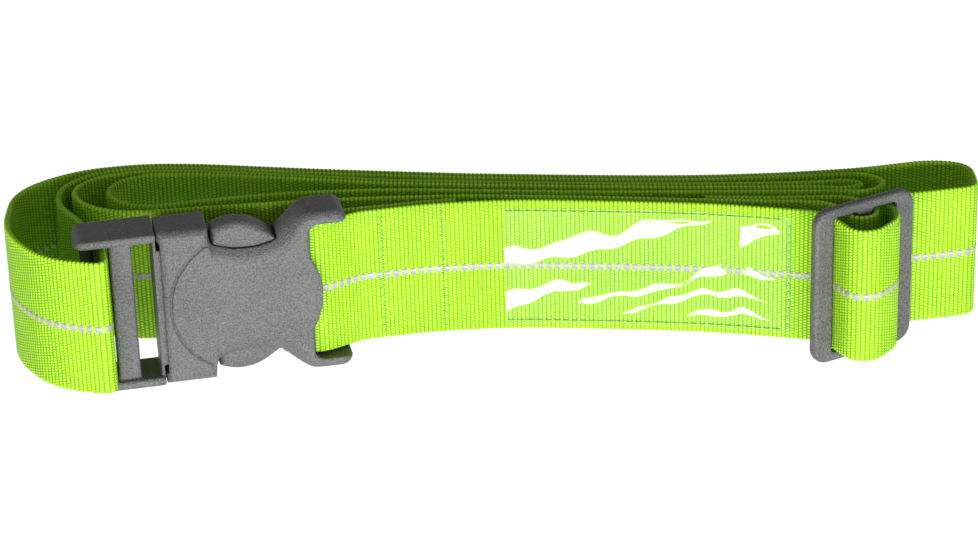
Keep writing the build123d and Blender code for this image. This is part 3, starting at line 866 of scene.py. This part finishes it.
def female_field(u, v, n):
    outline = polygon(u, v, female_outline())
    rounding = EDGE_ROUND + (SCOOP_ROUND - EDGE_ROUND) * (
        smoothstep(COLLAR_LENGTH - 0.2, COLLAR_LENGTH + 1.0, u) - smoothstep(33.0, 40.0, u)
    )
    body = round_max(outline, abs(n) - FACE, rounding)
    opening = bar(u - FAR, v, FAR - BODY_LENGTH, SLOT_HALF, 1.4)
    body = cut(body, np.maximum(opening, n - FACE + PLATE_THICK), 0.4)
    lip = bar(u - FAR, v, FAR - LIP_END, SLOT_HALF, 2.5)
    body = cut(body, lip, 0.6)
    disc = np.hypot(u - DISC_AT, v) - DISC_RADIUS
    disc_slab = round_max(disc, abs(n - FACE - DISC_PROUD + DISC_HALF) - DISC_HALF, 0.45)
    disc_slab = round_max(disc_slab, round_max(outline, n - FACE - DISC_PROUD, rounding), 0.3)
    body = join(body, disc_slab, 0.1)
    groove = np.maximum(abs(disc) - GROOVE_HALF, abs(n - FACE) - GROOVE_DEPTH)
    body = cut(body, np.maximum(groove, u - GROOVE_END), 0.05)
    mouth = np.maximum(bar(v, n, SLOT_HALF - 0.6, CAVITY_THICK / 2, 0.6), u - MOUTH_DEPTH)
    middle = bar(v, n, PRONG_HEIGHT - PRONG_ARM / 2, CAVITY_THICK / 2, 0.6)
    sides = bar(v, n, SLOT_HALF - 0.6, WINDOW_HALF, 0.6)
    cavity = np.minimum(mouth, np.minimum(middle, sides))
    body = cut(body, np.maximum(cavity, u - WINDOW_END), 0.4)
    window = bar(u - WINDOW_AT, n, WINDOW_REACH, WINDOW_HALF + 0.1, 1.0)
    window = np.maximum(window, 12.0 - abs(v))
    body = cut(body, window, 0.5)
    rod = bar(u - BAR_AT, n, BAR_LENGTH / 2, BAR_THICK / 2, 1.5)
    rod = np.maximum(rod, abs(v) - SLOT_HALF - 0.6)
    return join(body, rod, 0.5)


def make_female_half():
    low = (-1.0, -BUCKLE_HALF - 2, -FACE - 1)
    high = (HORN_END + 1, BUCKLE_HALF + 2, FACE + 1.6)
    half = moulding("female_half", female_field, buckle, low, high)
    finish_piece(half, [PLASTIC], "root", ["female_buckle"])


# ------------------------------------------------------------------ buckle, male half


def male_field(u, v, n):
    along = abs(u + (FRAME_LENGTH + PARTING_GAP) / 2) - (FRAME_LENGTH - PARTING_GAP) / 2
    side = abs(v) - (SLOT_HALF + BUCKLE_HALF) / 2
    rail = bar(side, n, BUCKLE_SIDE / 2, FACE, 1.15)
    round_end = round_max(abs(n) - FACE, -FRAME_LENGTH - u, 4.2)
    rail = round_max(round_max(rail, along, 0.5), round_end, 0.6)
    rail = np.maximum(rail, round_max(-FRAME_LENGTH - u, abs(v) - BUCKLE_HALF, 3.2))
    outer = bar(u - OUTER_BAR_AT, n, BAR_LENGTH / 2, BAR_THICK / 2, 1.6)
    # The bars run a little way into the rails
    past_rails = abs(v) - SLOT_HALF - 0.8
    frame_field = join(rail, np.maximum(outer, past_rails), 0.7)
    centre = bar(u - CENTRE_BAR_AT, n - 1.4, CENTRE_BAR_LENGTH / 2, 3.2, 0.8)
    frame_field = join(frame_field, np.maximum(centre, past_rails), 0.5)
    plate_half = CAVITY_THICK / 2 - PRONG_PLAY
    plate_u = u + (BASE_PLATE + PARTING_GAP) / 2
    plate = bar(plate_u, n, (BASE_PLATE - PARTING_GAP) / 2, plate_half, 0.3)
    frame_field = join(frame_field, np.maximum(plate, past_rails), 0.3)
    block_u = u - (KNUCKLE_AT - BASE_PLATE) / 2
    block_half = PRONG_HEIGHT + KNUCKLE_RADIUS + 1.2
    block = bar(block_u, v, (KNUCKLE_AT + BASE_PLATE) / 2, block_half, 0.8)
    socket = np.hypot(u - KNUCKLE_AT, abs(v) - PRONG_HEIGHT) - KNUCKLE_RADIUS - 0.05
    block = np.maximum(np.maximum(block, -socket), abs(n) - plate_half)
    frame_field = join(frame_field, block, 0.3)
    blade = [
        (KNUCKLE_AT - 1, -GUIDE_HEIGHT / 2),
        (GUIDE_LENGTH - 4, -GUIDE_HEIGHT / 2),
        (GUIDE_LENGTH, -GUIDE_HEIGHT / 4),
        (GUIDE_LENGTH, GUIDE_HEIGHT / 4),
        (GUIDE_LENGTH - 4, GUIDE_HEIGHT / 2),
        (KNUCKLE_AT - 1, GUIDE_HEIGHT / 2),
    ]
    guide = round_max(polygon(u, v, blade), abs(n) - CAVITY_THICK / 2 + 1, 0.5)
    return join(frame_field, guide, 0.3)


def prong_outline():
    shoulder = COLLAR_LENGTH + 1.1
    inner = PRONG_HEIGHT - PRONG_ARM / 2
    outer = PRONG_HEIGHT + PRONG_ARM / 2
    crest = BUCKLE_HALF - 0.6
    points = [(KNUCKLE_AT, inner), (PRONG_TIP - 0.6, inner), (PRONG_TIP, outer - 0.6)]
    points += arc(
        (WINDOW_END - 0.8, outer + 1.6),
        ((shoulder + WINDOW_END) / 2 - 0.6, crest),
        (shoulder, crest - 1.4),
        18,
    )
    return points + [(shoulder, outer + 0.6), (KNUCKLE_AT, outer)]


def make_prong(name, side, body, cad_node):
    outline = prong_outline()

    def field(u, v, n):
        arm = polygon(u, side * v, outline)
        knuckle = np.hypot(u - KNUCKLE_AT, side * v - PRONG_HEIGHT) - KNUCKLE_RADIUS
        shape = np.minimum(arm, knuckle)
        soft = ARM_ROUND + (BUTTON_ROUND - ARM_ROUND) * smoothstep(15.5, 19.0, side * v)
        return round_max(shape, abs(n) - BUTTON_HALF, soft)

    low_v, high_v = sorted((side * 11.0, side * (BUCKLE_HALF + 1)))
    low = (KNUCKLE_AT - 3, low_v, -FACE)
    high = (PRONG_TIP + 1, high_v, FACE)
    piece = moulding(name, field, buckle, low, high, 0.3)
    finish_piece(piece, [PLASTIC], body, [cad_node])


def make_male_half():
    low = (-FRAME_LENGTH - 1, -BUCKLE_HALF - 1, -FACE - 1)
    high = (GUIDE_LENGTH + 1, BUCKLE_HALF + 1, FACE + 1)
    half = moulding("male_half_frame", male_field, buckle, low, high, 0.33)
    finish_piece(half, [PLASTIC], "male_half", ["male_buckle"])
    make_prong("upper_latch_arm", 1, "upper_latch", "upper_prong")
    make_prong("lower_latch_arm", -1, "lower_latch", "lower_prong")


# ------------------------------------------------------------------ slider


def slider_field(s, v, n):
    plate = bar(s, v, SLIDER_LENGTH / 2, SLIDER_HALF, SLIDER_CORNER)
    plate = round_max(plate, abs(n) - SLIDER_THICK / 2, 1.1)
    for side in (-1, 1):
        gap = bar(s - side * (slot_gap + SLIDER_BAR) / 2, v, slot_gap / 2, SLOT_HALF, 1.2)
        plate = cut(plate, gap, 0.6)
    return plate


def make_slider():
    low = (-SLIDER_LENGTH / 2 - 1, -SLIDER_HALF - 1, -SLIDER_THICK / 2 - 1)
    high = (SLIDER_LENGTH / 2 + 1, SLIDER_HALF + 1, SLIDER_THICK / 2 + 1)
    piece = moulding("three_bar_slider", slider_field, slider, low, high, 0.25)
    finish_piece(piece, [PLASTIC], "slider", ["slider_frame"])


make_female_half()
make_male_half()
make_slider()

# ------------------------------------------------------------------ sewn details on the front run

FRONT_LINE = centre_line(ROUTES["front_run"])


def front_face(x, height, out):
    """Bench points on the front run's front face, at places x along the bench."""
    x, height, out = np.broadcast_arrays(x, height, out)
    y = np.interp(x, FRONT_LINE[:, 0], FRONT_LINE[:, 1])
    slope = np.gradient(FRONT_LINE[:, 1], FRONT_LINE[:, 0])
    tilt = np.arctan(np.interp(x, FRONT_LINE[:, 0], slope))
    away = WEB_THICK / 2 + out
    return np.stack([x + away * np.sin(tilt), y - away * np.cos(tilt), height], -1)


# Ripples of the film: places along the bench, the crest's height at each, width of the slope
RIPPLES = [
    ((-10.0, 14.0, 30.0, 46.0, 60.0), (18.0, 21.0, 24.5, 29.5, 34.0), 5.0),
    ((-10.0, 5.0, 14.0, 28.0), (2.0, 6.0, 10.5, 14.0), 4.6),
    ((16.0, 30.0, 46.0, 56.0), (6.0, 9.5, 12.5, 17.0), 2.0),
    ((30.0, 44.0, 58.0, 76.0), (3.5, 8.0, 12.0, 11.0), 2.6),
    ((48.0, 56.0, 64.0, 77.0), (12.0, 17.0, 19.0, 17.0), 3.0),
    ((61.0, 66.0, 70.0, 77.0), (20.0, 27.0, 29.5, 31.0), 5.2),
    ((44.0, 54.0, 66.0, 78.0), (3.0, 5.0, 6.5, 5.0), 2.4),
]
RIPPLE_SLOPE = 0.225
RIPPLE_LEAST = 0.05       # width that is left of a ripple past its ends
FILM_LIFT = 0.12          # gap to the webbing's face where the film is sewn down
FILM_BULGE = 0.15
SEWN_SIDES = 9            # how soon the film comes free of the seams at its sides and its end
SEWN_END = 16


def ripple(x, height, places, crests, width):
    """One long ripple, steeper on its upper side, that fades out at both ends."""
    crest = np.interp(x, places, crests) + 0.5 * np.sin(x * 0.55 + width)
    span = (x - places[0]) / (places[-1] - places[0])
    size = width * np.clip(4.6 * span * (1 - span), 0, 1) * (0.95 + 0.25 * np.sin(x / 3.1))
    size = np.where((span > 0) & (span < 1), np.maximum(size, RIPPLE_LEAST), RIPPLE_LEAST)
    away = (height - crest) / size
    upper = np.clip(1 - away, 0, 1)
    lower = smoothstep(-1.5, 0.0, away)
    return RIPPLE_SLOPE * size * np.where(away > 0, upper, lower)


def make_film():
    """Clear film, sewn down on three sides, rippled and bulging where it is free."""
    x = np.linspace(FILM_START, FILM_END, 240)[:, None]
    height = np.linspace(FILM_MARGIN, WEB_WIDTH - FILM_MARGIN, 110)[None, :]
    along = (x - FILM_START) / (FILM_END - FILM_START)
    across = (height - FILM_MARGIN) / (WEB_WIDTH - 2 * FILM_MARGIN)
    from_sides = np.minimum(across, 1 - across) * SEWN_SIDES
    free = smoothstep(0, 1, np.minimum(from_sides, (1 - along) * SEWN_END))
    out = FILM_LIFT + free * (FILM_BULGE + sum(ripple(x, height, *shape) for shape in RIPPLES))
    front = front_face(x, height, out + FILM_THICK)
    back = front_face(x, height, out)
    rows, columns = front.shape[:2]
    points = np.concatenate([front.reshape(-1, 3), back.reshape(-1, 3)])
    half = rows * columns
    row, column = np.meshgrid(np.arange(rows - 1), np.arange(columns - 1), indexing="ij")
    here = (row * columns + column).reshape(-1)
    faces = [np.stack([here, here + columns, here + columns + 1, here + 1], 1)]
    faces.append(np.stack([here + 1, here + columns + 1, here + columns, here], 1) + half)
    rim = np.r_[
        np.arange(columns),
        columns - 1 + columns * np.arange(1, rows),
        (rows - 1) * columns + np.arange(columns - 2, -1, -1),
        columns * np.arange(rows - 2, 0, -1),
    ]
    after = np.roll(rim, -1)
    faces.append(np.stack([rim, after, after + half, rim + half], 1))
    film = new_object("id_window_film", points, np.concatenate(faces))
    finish_piece(film, [FILM], "root", ["id_window"])


STITCH_SIDES = 6
STITCH_STEPS = 7
SEAM_STITCH = 1.9
SEAM_GAP = 0.5
SEAM_THREAD = 0.17        # radius
SEAM_LIFT = 0.55          # in front of the webbing, on the film
BARTACK_THREAD = 0.15
BARTACK_LIFT = 0.02
BARTACK_HALF = 0.75
BARTACK_PITCH = 0.62
BARTACK_MARGIN = 2.2
BARTACK_DRIFT = 0.12


def stitch(start, end, radius):
    """One stitch: a thread that rises out of the cloth and dives back, as points and faces."""
    start, end = np.array(start, float), np.array(end, float)
    t = np.linspace(0, 1, STITCH_STEPS)
    line_x = start[0] + (end[0] - start[0]) * t
    line_z = start[1] + (end[1] - start[1]) * t
    rise = radius * (1.5 * np.sin(pi * t) - 0.7)
    lean = end - start
    lean = lean / np.linalg.norm(lean)
    turn = 2 * pi * np.arange(STITCH_SIDES) / STITCH_SIDES
    sideways = radius * np.cos(turn)
    points = front_face(
        line_x[:, None] - lean[1] * sideways,
        line_z[:, None] + lean[0] * sideways,
        rise[:, None] + radius * np.sin(turn),
    )
    faces = []
    for i in range(STITCH_STEPS - 1):
        for k in range(STITCH_SIDES):
            a = i * STITCH_SIDES + k
            b = i * STITCH_SIDES + (k + 1) % STITCH_SIDES
            faces.append((a, b, b + STITCH_SIDES, a + STITCH_SIDES))
    return points.reshape(-1, 3), faces


def stitches(name, ends, radius, lift, cad_node):
    """Many stitches as one piece."""
    points, faces = [], []
    for start, end in ends:
        some, quads = stitch(start, end, radius)
        faces += [tuple(i + sum(map(len, points)) for i in quad) for quad in quads]
        points.append(some)
    points = np.concatenate(points)
    points[:, 1] -= lift
    piece = new_object(name, points, faces)
    finish_piece(piece, [THREAD], "root", [cad_node])


def sew_window():
    """Two seams along the film and one across its end."""
    low = FILM_MARGIN + 0.9
    high = WEB_WIDTH - FILM_MARGIN - 0.9
    last = FILM_END - 1.1
    step = SEAM_STITCH + SEAM_GAP
    ends = []
    for height in (low, high):
        for x in np.arange(FILM_START + 0.8, last - SEAM_STITCH, step):
            ends.append(((x, height), (x + SEAM_STITCH, height)))
    for height in np.arange(low, high - SEAM_STITCH, step):
        ends.append(((last, height), (last, height + SEAM_STITCH)))
    stitches("window_stitches", ends, SEAM_THREAD, SEAM_LIFT, "window_stitching")


def sew_bartacks():
    """Two dense zigzags that hold the webbing round the buckle's bar."""
    rng = np.random.default_rng(7)
    for at, name in zip(BARTACK_AT, ("bartack_by_buckle", "bartack_at_return")):
        ends = []
        heights = np.arange(BARTACK_MARGIN, WEB_WIDTH - BARTACK_MARGIN, BARTACK_PITCH)
        for i, z in enumerate(heights):
            slant = BARTACK_HALF if i % 2 else -BARTACK_HALF
            x = at + rng.uniform(-BARTACK_DRIFT, BARTACK_DRIFT)
            ends.append(((x - BARTACK_HALF, z - slant / 2), (x + BARTACK_HALF, z + slant / 2)))
        stitches(name + "_stitches", ends, BARTACK_THREAD, BARTACK_LIFT, name)


make_film()
sew_window()
sew_bartacks()

# ------------------------------------------------------------------ floor, camera and lights

CAMERA_ELEVATION = 27.0      # above the bench
CAMERA_ROLL = -1.8
CAMERA_DISTANCE = 893.0      # mm from the middle of the pack
CAMERA_LENS = 125.153        # mm, with the sensor below
SENSOR_WIDTH = 36.0
FLOOR_SIZE = 8.0             # metres, as are the places and sizes of the lights
FLOOR_GLOW = 0.92
WORLD_GLOW = 0.25
LIGHT_TARGET = (0, 0, 0.02)
# Each light: place, width and height, power
LIGHTS = {
    "front_strip": ((-0.14, -1.19, 0.18), (1.5, 0.24), 19),
    "front_right": ((0.7, -1.0, 0.18), (0.45, 0.25), 7),
}


def make_floor():
    bpy.ops.mesh.primitive_plane_add(size=FLOOR_SIZE, location=(0, 0, 0))
    floor = bpy.context.object
    floor.name = "floor"
    made, tree, shader = material("pale_floor")
    looks = {
        "Base Color": (0.35, 0.35, 0.35, 1),
        "Roughness": 0.9,
        "Emission Color": (1, 1, 1, 1),
        "Emission Strength": FLOOR_GLOW,
    }
    set_inputs(tree, shader, looks)
    floor.data.materials.append(made)


def make_camera():
    data = bpy.data.cameras.new("camera")
    camera = bpy.data.objects.new("camera", data)
    bpy.context.scene.collection.objects.link(camera)
    up, roll = radians(CAMERA_ELEVATION), radians(CAMERA_ROLL)
    forward = np.array([0, cos(up), -sin(up)])
    level = np.array([1.0, 0, 0])
    above = np.cross(level, forward)
    right = cos(roll) * level + sin(roll) * above
    over = cos(roll) * above - sin(roll) * level
    place = to_row(np.array([0, 0, AXIS_Z]) - CAMERA_DISTANCE * forward)
    turn = np.stack([LEAN @ right, LEAN @ over, -(LEAN @ forward)], 1)
    camera.matrix_world = Matrix.Translation(place) @ Matrix(turn.tolist()).to_4x4()
    data.sensor_width = SENSOR_WIDTH
    data.lens = CAMERA_LENS
    data.clip_start, data.clip_end = 0.05, 20.0
    bpy.context.scene.camera = camera


def area_light(name, place, size, power):
    data = bpy.data.lights.new(name, "AREA")
    data.shape = "RECTANGLE"
    data.size, data.size_y = size
    data.energy = power
    light = bpy.data.objects.new(name, data)
    bpy.context.scene.collection.objects.link(light)
    light.location = place
    aim = Vector(LIGHT_TARGET) - Vector(place)
    light.rotation_mode = "QUATERNION"
    light.rotation_quaternion = aim.to_track_quat("-Z", "Y")


def make_lights():
    world = bpy.data.worlds.new("studio")
    bpy.context.scene.world = world
    world.use_nodes = True
    tree = world.node_tree
    set_inputs(tree, tree.nodes["Background"], {"Color": (1, 1, 1, 1), "Strength": WORLD_GLOW})
    for name, (place, size, power) in LIGHTS.items():
        area_light(name, place, size, power)
    bpy.context.scene.view_settings.view_transform = "Standard"


make_floor()
make_camera()
make_lights()
